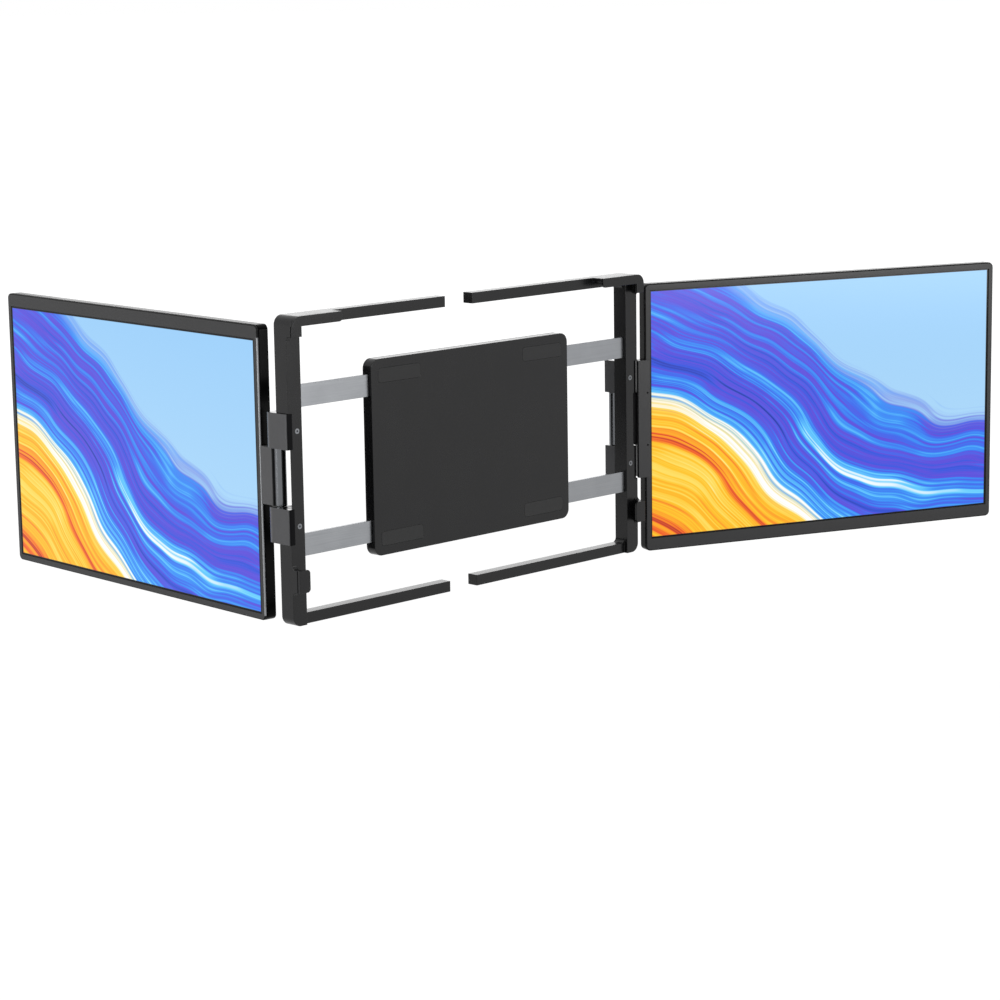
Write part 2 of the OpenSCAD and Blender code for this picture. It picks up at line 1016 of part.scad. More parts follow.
module left_panel_module() {
    color(steel)
        left_unit()
            panel_module();
}

module left_driver_board() {
    color(board)
        left_unit()
            driver_board();
}

module left_usb_ports() {
    color(steel)
        left_unit()
            usb_ports();
}

module left_power_button() {
    color(satin)
        left_unit()
            edge_button(power_z, power_l, flange_gap);
}

module left_menu_rocker() {
    color(satin)
        left_unit()
            edge_button(rocker_z, rocker_l, rocker_gap);
}

module left_shell_screws() {
    color(steel)
        left_unit()
            shell_screws();
}

module right_knuckle() {
    color(block_grey)
        right_screen()
            knuckle_right();
}

module right_rear_shell() {
    color(black)
        right_unit()
            rear_shell();
}

module right_bezel() {
    color(black)
        right_unit()
            bezel();
}

module right_display() {
    color(glass)
        right_unit()
            display();
}

module right_panel_module() {
    color(steel)
        right_unit()
            panel_module();
}

module right_driver_board() {
    color(board)
        right_unit()
            driver_board();
}

module right_usb_ports() {
    color(steel)
        right_unit()
            usb_ports();
}

module right_power_button() {
    color(satin)
        right_unit()
            edge_button(power_z, power_l, flange_gap);
}

module right_menu_rocker() {
    color(satin)
        right_unit()
            edge_button(rocker_z, rocker_l, rocker_gap);
}

module right_shell_screws() {
    color(steel)
        right_unit()
            shell_screws();
}

centre_tray();
centre_pads();
centre_cover();
cover_screws();
kickstand();
kickstand_pin();
kickstand_foot();
left_frame();
left_frame_cover();
left_top_hook();
left_side_hook();
left_hook_pads();
left_slide_rails();
left_rail_screws();
left_hinge_blocks();
left_block_screws();
left_hinge_pin();
right_frame();
right_frame_cover();
right_top_hook();
right_side_hook();
right_hook_pads();
right_slide_rails();
right_rail_screws();
right_hinge_blocks();
right_block_screws();
right_hinge_pin();
left_knuckle();
left_rear_shell();
left_bezel();
left_display();
left_panel_module();
left_driver_board();
left_usb_ports();
left_power_button();
left_menu_rocker();
left_shell_screws();
right_knuckle();
right_rear_shell();
right_bezel();
right_display();
right_panel_module();
right_driver_board();
right_usb_ports();
right_power_button();
right_menu_rocker();
right_shell_screws();
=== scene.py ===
"""Looks of the laptop screen extender: finishes, studio, lamps and camera."""

import logging
import math
from dataclasses import dataclass, field
from enum import Enum
from typing import Any, Optional, Sequence, Union

import bmesh
import bpy
from mathutils import Matrix, Vector

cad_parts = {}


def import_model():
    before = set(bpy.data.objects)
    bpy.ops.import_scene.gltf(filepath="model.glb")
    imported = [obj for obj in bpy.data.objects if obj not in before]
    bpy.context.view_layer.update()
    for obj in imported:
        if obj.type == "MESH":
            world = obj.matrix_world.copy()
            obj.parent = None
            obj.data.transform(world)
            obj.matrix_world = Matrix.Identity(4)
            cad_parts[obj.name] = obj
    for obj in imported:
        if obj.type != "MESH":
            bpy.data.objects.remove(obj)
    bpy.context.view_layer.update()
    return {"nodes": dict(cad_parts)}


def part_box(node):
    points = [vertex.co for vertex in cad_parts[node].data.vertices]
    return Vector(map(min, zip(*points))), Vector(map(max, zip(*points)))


log = logging.getLogger("screen_extender")

Number = Union[int, float]
Triple = tuple[float, float, float]
Stops = tuple[tuple[float, str], ...]

# Where one zone of a finish, of its painted light and shade, or of the floor gives way
# to the next, in metres.
CHAMFER_HIGHLIGHT = (0.1366, 0.1372)
CHAMFER_CORNER = (0.0860, 0.0868)
SHELL_SIDE = (0.1381, 0.1389)
SHELL_TOP = (0.0889, 0.0895)
BLOCK_FACE = (0.0003, 0.0005)
ARM_PAINTED_REFLECTION = (0.00502, 0.0053)
BARREL_WALL = (0.0038, 0.0040)
DIMPLE_WALL = (0.00064, 0.00070)
FLOOR_FAR = (0.7, 1.8)

# Middles of the tall plate's two dimples, in metres.
DIMPLES = ((0.162621, -0.003984, 0.0138), (0.162621, -0.003984, -0.0222))

# The drawn picture's size, in metres and in units of its own.
LIT_WIDTH, LIT_HEIGHT = 0.2702, 0.170
PICTURE_WIDTH, PICTURE_HEIGHT = 1.6, 1.0

# Where the unlit line round the lit area starts, in the picture's units.
UNLIT_SIDE = (0.7950, 0.7962)
UNLIT_TOP = (0.4958, 0.4970)

# Texture scales, per metre.
CLOUDS, SHELL_CLOUDS, PATCHES = 38, 30, 60
WEAR, SCRATCHES, SPECKLE = 900, 1400, 3000
SHELL_GRAIN, PAINT_GRAIN = 3600, 7000
BOARD_CELLS = 240.0

# Mesh clean-up: welding distance in metres, and angles in degrees.
WELD_GAP = 0.000002
FLAT_ANGLE = 0.3
SHARP_ANGLE = 50.0
BEVEL_SEGMENTS = 2
NORMAL_WEIGHT = 50

# The camera's sensor in millimetres, its image in pixels, its clipping in metres.
SENSOR = 36.0
IMAGE_PIXELS = 1000.0
CLIP = (0.05, 50.0)


# ---------------------------------------------------------------- shader maths


def linear(hex_code: str) -> tuple[float, float, float, float]:
    """Turn a six-digit sRGB hex code into linear RGBA.

    Args:
        hex_code: Six hexadecimal digits.

    Returns:
        Linear red, green, blue and an alpha of one.
    """
    levels = [int(hex_code[i : i + 2], 16) / 255 for i in (0, 2, 4)]
    red, green, blue = (
        c / 12.92 if c <= 0.04045 else ((c + 0.055) / 1.055) ** 2.4 for c in levels
    )
    return red, green, blue, 1.0


class Wire:
    """A node output that can be used in plain arithmetic."""

    def __init__(self, graph: "Graph", socket: bpy.types.NodeSocket) -> None:
        """Keep the socket and the graph it belongs to."""
        self.graph = graph
        self.socket = socket

    def _math(self, operation: str, *values: Any) -> "Wire":
        """Add one Math node.

        Args:
            operation: The Math node's operation.
            values: Wires or numbers, in socket order.

        Returns:
            The node's result.
        """
        return self.graph.add("ShaderNodeMath", {"operation": operation}, values)

    def __add__(self, other: Any) -> "Wire":
        """Return the sum."""
        return self._math("ADD", self, other)

    __radd__ = __add__

    def __sub__(self, other: Any) -> "Wire":
        """Return the difference."""
        return self._math("SUBTRACT", self, other)

    def __rsub__(self, other: Any) -> "Wire":
        """Return a number minus this wire."""
        return self._math("SUBTRACT", other, self)

    def __mul__(self, other: Any) -> "Wire":
        """Return the product."""
        return self._math("MULTIPLY", self, other)

    def sine(self) -> "Wire":
        """Return the sine."""
        return self._math("SINE", self)

    def size(self) -> "Wire":
        """Return the value without its sign."""
        return self._math("ABSOLUTE", self)

    def largest(self, other: Any) -> "Wire":
        """Return the larger of two values."""
        return self._math("MAXIMUM", self, other)

    def clamp(self) -> "Wire":
        """Return the value held between 0 and 1."""
        return self.graph.add("ShaderNodeClamp", {}, (self,))

    def smooth(self, low: Number, high: Number) -> "Wire":
        """Return a smooth step from 0 at low to 1 at high.

        Args:
            low: Where the step starts.
            high: Where it ends.

        Returns:
            The eased value.
        """
        settings = {"interpolation_type": "SMOOTHSTEP"}
        values = (self, low, high, 0.0, 1.0)
        return self.graph.add("ShaderNodeMapRange", settings, values)


class Graph:
    """A material's node tree with one method that makes any node."""

    def __init__(self, name: str) -> None:
        """Start a material with a Principled shader."""
        self.material = bpy.data.materials.new(name)
        self.material.use_nodes = True
        self.tree = self.material.node_tree
        self.shader = self.tree.nodes["Principled BSDF"]

    def add(
        self,
        kind: str,
        settings: Optional[dict[str, Any]] = None,
        inputs: Union[Sequence[Any], dict[str, Any], None] = None,
        output: Union[int, str] = 0,
    ) -> Wire:
        """Add a node of any kind.

        Args:
            kind: The node's type.
            settings: Attributes that are set first; "stops" fills a ramp.
            inputs: Values or wires, by position or by socket name.
            output: Which output to return.

        Returns:
            The chosen output.
        """
        node = self.tree.nodes.new(kind)
        for key, value in (settings or {}).items():
            if key == "stops":
                self._fill_ramp(node.color_ramp, value)
            else:
                setattr(node, key, value)
        pairs = inputs.items() if isinstance(inputs, dict) else enumerate(inputs or ())
        for key, value in pairs:
            self.feed(node.inputs[key], value)
        return Wire(self, node.outputs[output])

    def feed(self, socket: bpy.types.NodeSocket, value: Any) -> None:
        """Link a wire to a socket, or set the socket's own value."""
        if isinstance(value, Wire):
            self.tree.links.new(value.socket, socket)
        else:
            socket.default_value = value

    @staticmethod
    def _fill_ramp(ramp: bpy.types.ColorRamp, stops: Stops) -> None:
        """Set a ramp's stops.

        Args:
            ramp: The ramp to fill.
            stops: Positions with sRGB hex codes.
        """
        while len(ramp.elements) < len(stops):
            ramp.elements.new(0.5)
        for element, (place, code) in zip(ramp.elements, stops):
            element.position = place
            element.color = linear(code)

    def place(self) -> Wire:
        """Return the object coordinates."""
        return self.add("ShaderNodeTexCoord", output="Object")

    def split(self, vector: Wire) -> list[Wire]:
        """Return a vector's X, Y and Z."""
        node = self.tree.nodes.new("ShaderNodeSeparateXYZ")
        self.feed(node.inputs[0], vector)
        return [Wire(self, output) for output in node.outputs]

    def measure(self, operation: str, *vectors: Any) -> Wire:
        """Return a length or a distance in metres.

        Args:
            operation: LENGTH of one vector or DISTANCE between two.
            vectors: Wires or tuples.

        Returns:
            The measure.
        """
        settings = {"operation": operation}
        return self.add("ShaderNodeVectorMath", settings, vectors, "Value")

    def noise(
        self, vector: Wire, scale: Number, detail: Number, roughness: Number
    ) -> Wire:
        """Add a noise texture.

        Args:
            vector: Where it is read.
            scale: Its scale, per metre.
            detail: Octaves.
            roughness: How strong the finer octaves are.

        Returns:
            Its value.
        """
        inputs = {"Vector": vector, "Scale": scale}
        inputs.update(Detail=detail, Roughness=roughness)
        return self.add("ShaderNodeTexNoise", {}, inputs, "Fac")

    def mix(self, factor: Any, first: Any, second: Any) -> Wire:
        """Mix two colours.

        Args:
            factor: How much of the second.
            first: Colour or wire.
            second: Colour or wire.

        Returns:
            The mixed colour.
        """
        node = self.tree.nodes.new("ShaderNodeMix")
        node.data_type = "RGBA"
        self.feed(node.inputs[0], factor)
        self.feed(node.inputs[6], first)
        self.feed(node.inputs[7], second)
        return Wire(self, node.outputs[2])

    def bump(self, height: Wire, strength: Number, distance: Number) -> None:
        """Feed a Bump node into the shader's normal.

        Args:
            height: The height field.
            strength: The bump's strength.
            distance: The bump's depth in metres.
        """
        inputs = {"Height": height, "Strength": strength, "Distance": distance}
        self.set(Normal=self.add("ShaderNodeBump", {}, inputs))

    def set(self, **values: Any) -> None:
        """Set the shader's sockets; an underscore in a name stands for a space."""
        for key, value in values.items():
            self.feed(self.shader.inputs[key.replace("_", " ")], value)


# ---------------------------------------------------------------- finishes


@dataclass(frozen=True)
class MouldedPlastic:
    """Dark moulded plastic or satin paint with a fine grain and a slight sheen.

    Attributes:
        name: The material's name.
        dark: Its darker tone.
        light: Its lighter tone.
        roughness: Middle of its roughness.
        grain: Scale of the grain, per metre.
        depth: Depth of the grain in metres.
        shine: Specular level.
    """

    name: str
    dark: str
    light: str
    roughness: float
    grain: float = 5200.0
    depth: float = 0.00002
    shine: float = 0.3

    def material(self) -> bpy.types.Material:
        """Build the material.

        Returns:
            The finished material.
        """
        g = Graph(self.name)
        where = g.place()
        grain = g.noise(where, self.grain, 2, 0.55)
        cloud = g.noise(where, CLOUDS, 4, 0.6)
        wear = g.noise(where, WEAR, 5, 0.7)
        tone = (cloud * 0.65 + grain * 0.35).clamp()
        g.set(Base_Color=g.mix(tone, linear(self.dark), linear(self.light)))
        rough = self.roughness - 0.05 + cloud * 0.08 + (wear - 0.5) * 0.10
        g.set(Roughness=rough.clamp(), Specular_IOR_Level=self.shine)
        g.bump(grain, 0.25, self.depth)
        return g.material


@dataclass(frozen=True)
class ChamferPaintedHighlight:
    """Narrow chamfer of a bezel: black, with a painted highlight down the display's
    right-hand end.

    Attributes:
        name: The material's name.
        layout: Where the screen lies.
        code: Colour of the painted highlight on the chamfer down the display's
            right-hand end.
    """

    name: str
    layout: "Layout"
    code: str

    def material(self) -> bpy.types.Material:
        """Build the material.

        Returns:
            The finished material.
        """
        g = Graph(self.name)
        across, up = self.layout.across_and_up(g)
        # painted highlight: a light metallic tone with scratches down the display's
        # right-hand end, black round the rest
        highlight_end = across.smooth(*CHAMFER_HIGHLIGHT) * (1.0 - up.size().smooth(*CHAMFER_CORNER))
        fine = g.noise(g.place(), SCRATCHES, 3, 0.6)
        scratched_highlight = g.mix(fine * 0.6, linear(self.code), linear("3b3c3e"))
        g.set(Base_Color=g.mix(highlight_end, linear("030303"), scratched_highlight))
        g.set(Metallic=highlight_end * 0.9, Roughness=fine * 0.10 + 0.24)
        g.set(Specular_IOR_Level=0.12)
        return g.material


@dataclass(frozen=True)
class ShellPaintedShadeRim:
    """Rear shell: satin dark grey on its back; round its edge glossy black plastic, made
    near black as painted shade for the shade and dark reflections there.

    Attributes:
        name: The material's name.
        layout: Where the screen lies.
    """

    name: str
    layout: "Layout"

    def material(self) -> bpy.types.Material:
        """Build the material.

        Returns:
            The finished material.
        """
        g = Graph(self.name)
        across, up = self.layout.across_and_up(g)
        # painted shade round the shell's edge: glossy black plastic darkened to near
        # black
        sides = across.size().smooth(*SHELL_SIDE)
        painted_shade_rim = sides.largest(up.size().smooth(*SHELL_TOP))
        where = g.place()
        grain = g.noise(where, SHELL_GRAIN, 2, 0.55)
        cloud = g.noise(where, SHELL_CLOUDS, 4, 0.6)
        tone = (cloud * 0.6 + grain * 0.4).clamp()
        back = g.mix(tone, linear("141415"), linear("1d1d1e"))
        g.set(Base_Color=g.mix(painted_shade_rim, back, linear("020202")))
        g.set(Roughness=(0.40 - painted_shade_rim * 0.16 + cloud * 0.06).clamp())
        g.set(Specular_IOR_Level=0.05)
        g.set(Coat_Weight=(1.0 - painted_shade_rim) * 0.35, Coat_Roughness=0.3)
        g.bump(grain, 0.3, 0.00004)
        return g.material


@dataclass(frozen=True)
class HingeWithPaintedLight:
    """Hinge piece in black metal with grey flats and perhaps a polished barrel; the grey
    flats are a painted reflection, the black round them painted shade.

    Attributes:
        name: The material's name.
        node: The piece.
        paint: The tones of the grey flats, a painted reflection.
        pin: The pin that the piece's polished barrel surrounds, if it has one.
        dimples: Middles of small holes left black as painted shade.
    """

    name: str
    node: str
    paint: MouldedPlastic
    pin: Optional[str] = None
    dimples: tuple[Triple, ...] = ()

    def _zones(self, g: Graph) -> tuple[Any, Any]:
        """Make the masks of the grey flats, a painted reflection, and of the polished
        barrel.

        Args:
            g: The material's graph.

        Returns:
            One where the painted reflection is, and one where the barrel is.
        """
        if self.pin is None:
            # blocks: painted reflection on the face towards -X, painted shade on the
            # other sides
            face = float(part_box(self.node)[0][0])
            start, end = (face + depth for depth in BLOCK_FACE)
            return 1.0 - g.split(g.place())[0].smooth(start, end), 0.0
        low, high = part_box(self.pin)
        centre = (low + high) / 2
        flat = {
            "Vector": g.place(),
            "Location": (-float(centre[0]), -float(centre[1]), 0.0),
            "Scale": (1.0, 1.0, 0.0),
        }
        from_axis = g.measure("LENGTH", g.add("ShaderNodeMapping", {}, flat))
        # knuckle: painted reflection on the arm away from the barrel, and a black groove
        # of painted shade between the arm and the barrel
        painted = from_axis.smooth(*ARM_PAINTED_REFLECTION)
        # painted shade: the dimples stay black
        for dimple in self.dimples:
            gap = g.measure("DISTANCE", g.place(), dimple)
            painted = painted * gap.smooth(*DIMPLE_WALL)
        return painted, 1.0 - from_axis.smooth(*BARREL_WALL)

    def material(self) -> bpy.types.Material:
        """Build the material.

        Returns:
            The finished material.
        """
        g = Graph(self.name)
        painted, barrel = self._zones(g)
        grain = g.noise(g.place(), PAINT_GRAIN, 2, 0.55)
        cloud = g.noise(g.place(), CLOUDS, 4, 0.6)
        # grey painted reflection on the flats, black painted shade round them, polished
        # metal on the barrel
        reflection_tone = g.mix(cloud, linear(self.paint.dark), linear(self.paint.light))
        sides = g.mix(painted, linear("141415"), reflection_tone)
        g.set(Base_Color=g.mix(barrel, sides, linear("66686b")))
        g.set(Metallic=1.0 - painted)
        g.set(Roughness=(painted * 0.10 + cloud * 0.06 + 0.16).clamp())
        g.set(Specular_IOR_Level=self.paint.shine)
        g.bump(grain, 0.25, 0.00001)
        return g.material


@dataclass(frozen=True)
class BrushedSteel:
    """Steel with fine brush lines along one axis.

    Attributes:
        name: The material's name.
        code: Its lighter tone.
        stretch: Scale of the brush lines along each axis, per metre.
        roughness: Middle of its roughness.
    """

    name: str
    code: str
    stretch: Triple = (20.0, 900.0, 1800.0)
    roughness: float = 0.28

    def material(self) -> bpy.types.Material:
        """Build the material.

        Returns:
            The finished material.
        """
        g = Graph(self.name)
        stretched = {"Vector": g.place(), "Scale": self.stretch}
        mapped = g.add("ShaderNodeMapping", {}, stretched)
        lines = g.noise(mapped, 1.0, 3, 0.6)
        patches = g.noise(g.place(), PATCHES, 3, 0.5)
        shade = (lines * 0.6 + patches * 0.4).clamp()
        g.set(Base_Color=g.mix(shade, linear("77797c"), linear(self.code)))
        g.set(Metallic=1.0)
        g.set(Roughness=(lines * 0.10 + self.roughness - 0.03).clamp())
        g.bump(lines, 0.08, 0.00001)
        return g.material


@dataclass(frozen=True)
class SoftRubber:
    """Matte black rubber with a fine speckle."""

    name: str = "soft_rubber"

    def material(self) -> bpy.types.Material:
        """Build the material.

        Returns:
            The finished material.
        """
        g = Graph(self.name)
        speck = g.noise(g.place(), SPECKLE, 3, 0.7)
        g.set(Base_Color=g.mix(speck, linear("131313"), linear("242424")))
        g.set(Roughness=speck * 0.15 + 0.72)
        g.bump(speck, 0.4, 0.00003)
        return g.material


@dataclass(frozen=True)
class CircuitBoard:
    """Green solder mask with copper tracks showing through."""

    name: str = "circuit_board"

    def material(self) -> bpy.types.Material:
        """Build the material.

        Returns:
            The finished material.
        """
        g = Graph(self.name)
        cells = g.add(
            "ShaderNodeTexVoronoi",
            {"distance": "CHEBYCHEV", "feature": "F1"},
            {"Vector": g.place(), "Scale": BOARD_CELLS},
            "Distance",
        )
        tracks = cells.smooth(0.38, 0.46)
        g.set(Base_Color=g.mix(tracks, linear("0f3d25"), linear("2a6b41")))
        g.set(Roughness=tracks * 0.1 + 0.3)
        g.bump(tracks, 0.3, 0.00004)
        return g.material


class Facing(Enum):
    """Angle of a screen's width away from the X axis, in degrees."""

    LEFT = 93.3
    RIGHT = 21.2


@dataclass(frozen=True)
class Layout:
    """Where a screen's display lies on the object's axes.

    Attributes:
        centre: The display's middle.
        turn: Angle of the screen's width away from the X axis, in degrees.
    """

    centre: Triple
    turn: float

    @classmethod
    def of(cls, node: str, facing: Facing) -> "Layout":
        """Read a display's middle from its node.

        Args:
            node: The display's node.
            facing: Which way the screen faces.

        Returns:
            The layout.
        """
        low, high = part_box(node)
        return cls(tuple((low + high) / 2), facing.value)

    def across_and_up(self, g: Graph) -> tuple[Wire, Wire]:
        """Make coordinates on the display, to its right and up from its middle.

        Args:
            g: The material's graph.

        Returns:
            The two coordinates, in metres.
        """
        turn = Matrix.Rotation(math.radians(self.turn), 4, "Z")
        place = {
            "Vector": g.place(),
            "Rotation": (0.0, 0.0, math.radians(self.turn)),
            "Location": tuple(-(turn @ Vector(self.centre))),
        }
        across, _, up = g.split(g.add("ShaderNodeMapping", {}, place))
        return across, up


@dataclass(frozen=True)
class LitPicture:
    """Lit display with a picture of flowing ribbons in cool and warm colours.

    Attributes:
        name: The material's name.
        layout: Where the display lies.
        cool: Colours of the cool ribbons.
        warm: Colours of the warm ribbons.
    """

    name: str
    layout: Layout
    cool: Stops = (
        (0.20, "1b2a9a"),
        (0.31, "2b52de"),
        (0.40, "5b46d8"),
        (0.47, "3563ea"),
        (0.55, "2f90f6"),
        (0.64, "66d0fd"),
        (0.74, "ffffff"),
    )
    warm: Stops = (
        (0.22, "2a1c86"),
        (0.31, "a3241d"),
        (0.38, "ee5a16"),
        (0.45, "fb9a10"),
        (0.55, "ffc41a"),
        (0.66, "ffe063"),
        (0.76, "ffffff"),
    )

    def material(self) -> bpy.types.Material:
        """Build the material.

        Returns:
            The finished material.
        """
        g = Graph(self.name)
        across, up = self.layout.across_and_up(g)
        across = across * (PICTURE_WIDTH / LIT_WIDTH)
        up = up * (PICTURE_HEIGHT / LIT_HEIGHT)
        # slow noise that bends the ribbons and varies them along their length
        plane = g.add("ShaderNodeCombineXYZ", {}, (across, up, 0.0))
        drift = g.noise(plane, 1.2, 2, 0.4) - 0.5
        roll = g.noise(plane, 2.4, 2, 0.5) - 0.5
        # height over a slow wave that falls to the right
        wave = (across * 3.1 + 0.7).sine() * 0.13
        flow = up + across * 0.44 + wave + drift * 0.5
        along = across * 0.5 + roll * 0.45
        # broad ribbons and the fine strands in them
        bands = g.add("ShaderNodeCombineXYZ", {}, (along, flow * 8.0, 0.0))
        fibres = g.add("ShaderNodeCombineXYZ", {}, (along * 1.6, flow * 52.0, 3.0))
        ribbon = g.noise(bands, 1.0, 3, 0.55)
        strand = g.noise(fibres, 1.0, 2, 0.6)
        # white-hot where the cool and the warm ribbons meet
        meet = flow.smooth(-0.60, -0.40) * (1.0 - flow.smooth(-0.37, -0.16))
        contrast = (ribbon * 0.62 + strand * 0.38 - 0.5) * 1.7
        tone = (contrast + 0.46 + meet * 0.20).clamp()
        cool = g.add("ShaderNodeValToRGB", {"stops": self.cool}, (tone,))
        warm = g.add("ShaderNodeValToRGB", {"stops": self.warm}, (tone,))
        sky = g.mix((up * 0.7 + 0.5).clamp(), linear("b3dcf8"), linear("93c9f6"))
        # ragged edges: sky above the ribbons, warm colours below the cool ones
        fray = (strand - 0.5) * 0.15
        body = (0.25 - flow + fray).smooth(-0.03, 0.05)
        swell = (ribbon - 0.5) * 0.40
        glow = (-0.39 - flow + fray + swell).smooth(-0.06, 0.06)
        picture = g.mix(glow, g.mix(body, sky, cool), warm)
        # the unlit line round the lit area
        within_sides = 1.0 - across.size().smooth(*UNLIT_SIDE)
        within_top = 1.0 - up.size().smooth(*UNLIT_TOP)
        picture = g.mix(within_sides * within_top, linear("000000"), picture)
        g.set(
            Base_Color=linear("050506"),
            Roughness=0.16,
            Emission_Color=picture,
            Emission_Strength=1.0,
            Specular_IOR_Level=0.25,
        )
        return g.material


# ---------------------------------------------------------------- dressing


class Edge(Enum):
    """Radius of the softened edges of a piece, in metres."""

    NONE = 0.0
    HAIR = 0.00012
    FINE = 0.00018
    SOFT = 0.00028
    TRIM = 0.00075


def rounding_nodes() -> bpy.types.NodeTree:
    """Make the nodes that shade a piece smooth except at its sharp edges.

    Returns:
        The node group for a Geometry Nodes modifier.
    """
    tree = bpy.data.node_groups.new("rounding", "GeometryNodeTree")
    kind = "NodeSocketGeometry"
    for way in ("INPUT", "OUTPUT"):
        tree.interface.new_socket("Geometry", in_out=way, socket_type=kind)
    start = tree.nodes.new("NodeGroupInput")
    faces = tree.nodes.new("GeometryNodeSetShadeSmooth")
    faces.domain = "FACE"
    angle = tree.nodes.new("GeometryNodeInputMeshEdgeAngle")
    soft = tree.nodes.new("FunctionNodeCompare")
    soft.operation = "LESS_THAN"
    soft.inputs[1].default_value = math.radians(SHARP_ANGLE)
    edges = tree.nodes.new("GeometryNodeSetShadeSmooth")
    edges.domain = "EDGE"
    end = tree.nodes.new("NodeGroupOutput")
    tree.links.new(start.outputs[0], faces.inputs["Geometry"])
    tree.links.new(faces.outputs[0], edges.inputs["Geometry"])
    tree.links.new(angle.outputs["Unsigned Angle"], soft.inputs[0])
    tree.links.new(soft.outputs[0], edges.inputs["Shade Smooth"])
    tree.links.new(edges.outputs[0], end.inputs[0])
    return tree


class Wardrobe:
    """Makes each finish once and puts it on the frame's nodes."""

    def __init__(self, nodes: dict[str, bpy.types.Object]) -> None:
        """Keep the frame's nodes and start with no finish made."""
        self.nodes = nodes
        self.made: dict[str, bpy.types.Material] = {}
        self.rounding = rounding_nodes()

    def finish(self, style: Any) -> bpy.types.Material:
        """Return the material of a finish, building it on first use.

        Args:
            style: Any finish class.

        Returns:
            Its material.
        """
        if style.name not in self.made:
            self.made[style.name] = style.material()
        return self.made[style.name]

    def _soften(self, item: bpy.types.Object, edge: Edge, trimmed: bool) -> None:
        """Round a piece's sharp edges and even out its shading.

        Args:
            item: The piece.
            edge: The radius of its edges.
            trimmed: Whether the edges carry the second finish.
        """
        weld = item.modifiers.new("weld", "WELD")
        weld.merge_threshold = WELD_GAP
        flats = item.modifiers.new("flats", "DECIMATE")
        flats.decimate_type = "DISSOLVE"
        flats.angle_limit = math.radians(FLAT_ANGLE)
        bevel = item.modifiers.new("edges", "BEVEL")
        bevel.width = edge.value
        bevel.segments = BEVEL_SEGMENTS
        bevel.limit_method = "ANGLE"
        bevel.angle_limit = math.radians(SHARP_ANGLE)
        bevel.use_clamp_overlap = False
        if trimmed:
            bevel.material = 1
        item.modifiers.new("rounding", "NODES").node_group = self.rounding
        shading = item.modifiers.new("shading", "WEIGHTED_NORMAL")
        shading.weight = NORMAL_WEIGHT
        shading.keep_sharp = True

    def dress(self, name: str, style: Any, edge: Edge, trim: Any = None) -> None:
        """Put a finish on a node and soften its edges.

        Args:
            name: The node.
            style: Its finish.
            edge: The radius of its edges.
            trim: The finish of the softened edges, if it differs.
        """
        item = self.nodes[name]
        item.data.materials.clear()
        for layer in (style, trim):
            if layer is not None:
                item.data.materials.append(self.finish(layer))
        if edge is not Edge.NONE:
            self._soften(item, edge, trim is not None)
        log.info("dressed %s in %s", name, style.name)


FINE_GRAIN = {"grain": 7000.0, "depth": 0.00001}
SATIN = MouldedPlastic("satin_bracket", "0b0b0c", "131314", 0.27, shine=0.27)
COVER = MouldedPlastic("black_cover", "0d0d0e", "151516", 0.42, shine=0.25)
ALLOY = MouldedPlastic("hinge_paint", "303032", "3b3b3d", 0.26, shine=0.45, **FINE_GRAIN)
# A darker copy of ALLOY's grey for the right knuckle's arm, which lies in shade: painted
# shade.
ALLOY_IN_PAINTED_SHADE = MouldedPlastic(
    "knuckle_paint", "232324", "2b2b2c", 0.32, shine=0.35, **FINE_GRAIN
)
BEZEL = MouldedPlastic("bezel_plastic", "1d1d1e", "262627", 0.36, 6000.0, 0.00001)
BUTTON = MouldedPlastic("button_plastic", "131314", "1a1a1b", 0.28)
STEEL = BrushedSteel("rail_steel", "97999c")
PIN = BrushedSteel("pin_steel", "c6c8ca", (900.0, 900.0, 40.0), 0.2)
SCREW = BrushedSteel("screw_steel", "6b6d70", (800.0, 60.0, 800.0), 0.32)
PANEL = BrushedSteel("panel_metal", "a9abae", (200.0, 200.0, 900.0), 0.36)
RUBBER = SoftRubber()
BOARD = CircuitBoard()


class CentreBody:
    """Centre tray and cover with the kickstand."""

    def build(self, wardrobe: Wardrobe) -> None:
        """Dress the centre body's nodes.

        Args:
            wardrobe: The finishes.
        """
        finishes = (
            ("centre_tray", SATIN, Edge.SOFT),
            ("centre_pads", RUBBER, Edge.HAIR),
            ("centre_cover", COVER, Edge.FINE),
            ("cover_screws", SCREW, Edge.NONE),
            ("kickstand", ALLOY, Edge.SOFT),
            ("kickstand_pin", PIN, Edge.NONE),
            ("kickstand_foot", RUBBER, Edge.FINE),
        )
        for node, style, edge in finishes:
            wardrobe.dress(node, style, edge)


@dataclass(frozen=True)
class HalfBracket:
    """One sliding half of the bracket with its hooks, rails and hinge blocks.

    Attributes:
        side: The start of its nodes' names, left or right.
    """

    side: str

    def build(self, wardrobe: Wardrobe) -> None:
        """Dress this half's nodes.

        Args:
            wardrobe: The finishes.
        """
        side = self.side
        # the blocks carry a painted reflection on their face towards -X and painted
        # shade elsewhere
        paint = HingeWithPaintedLight(f"{side}_block_paint", f"{side}_hinge_blocks", ALLOY)
        finishes = (
            ("frame", SATIN, Edge.SOFT),
            ("frame_cover", COVER, Edge.FINE),
            ("top_hook", SATIN, Edge.SOFT),
            ("side_hook", SATIN, Edge.SOFT),
            ("hook_pads", RUBBER, Edge.NONE),
            ("slide_rails", STEEL, Edge.FINE),
            ("rail_screws", SCREW, Edge.NONE),
            ("hinge_blocks", paint, Edge.SOFT),
            ("block_screws", SCREW, Edge.NONE),
            ("hinge_pin", PIN, Edge.FINE),
        )
        for piece, style, edge in finishes:
            wardrobe.dress(f"{side}_{piece}", style, edge)


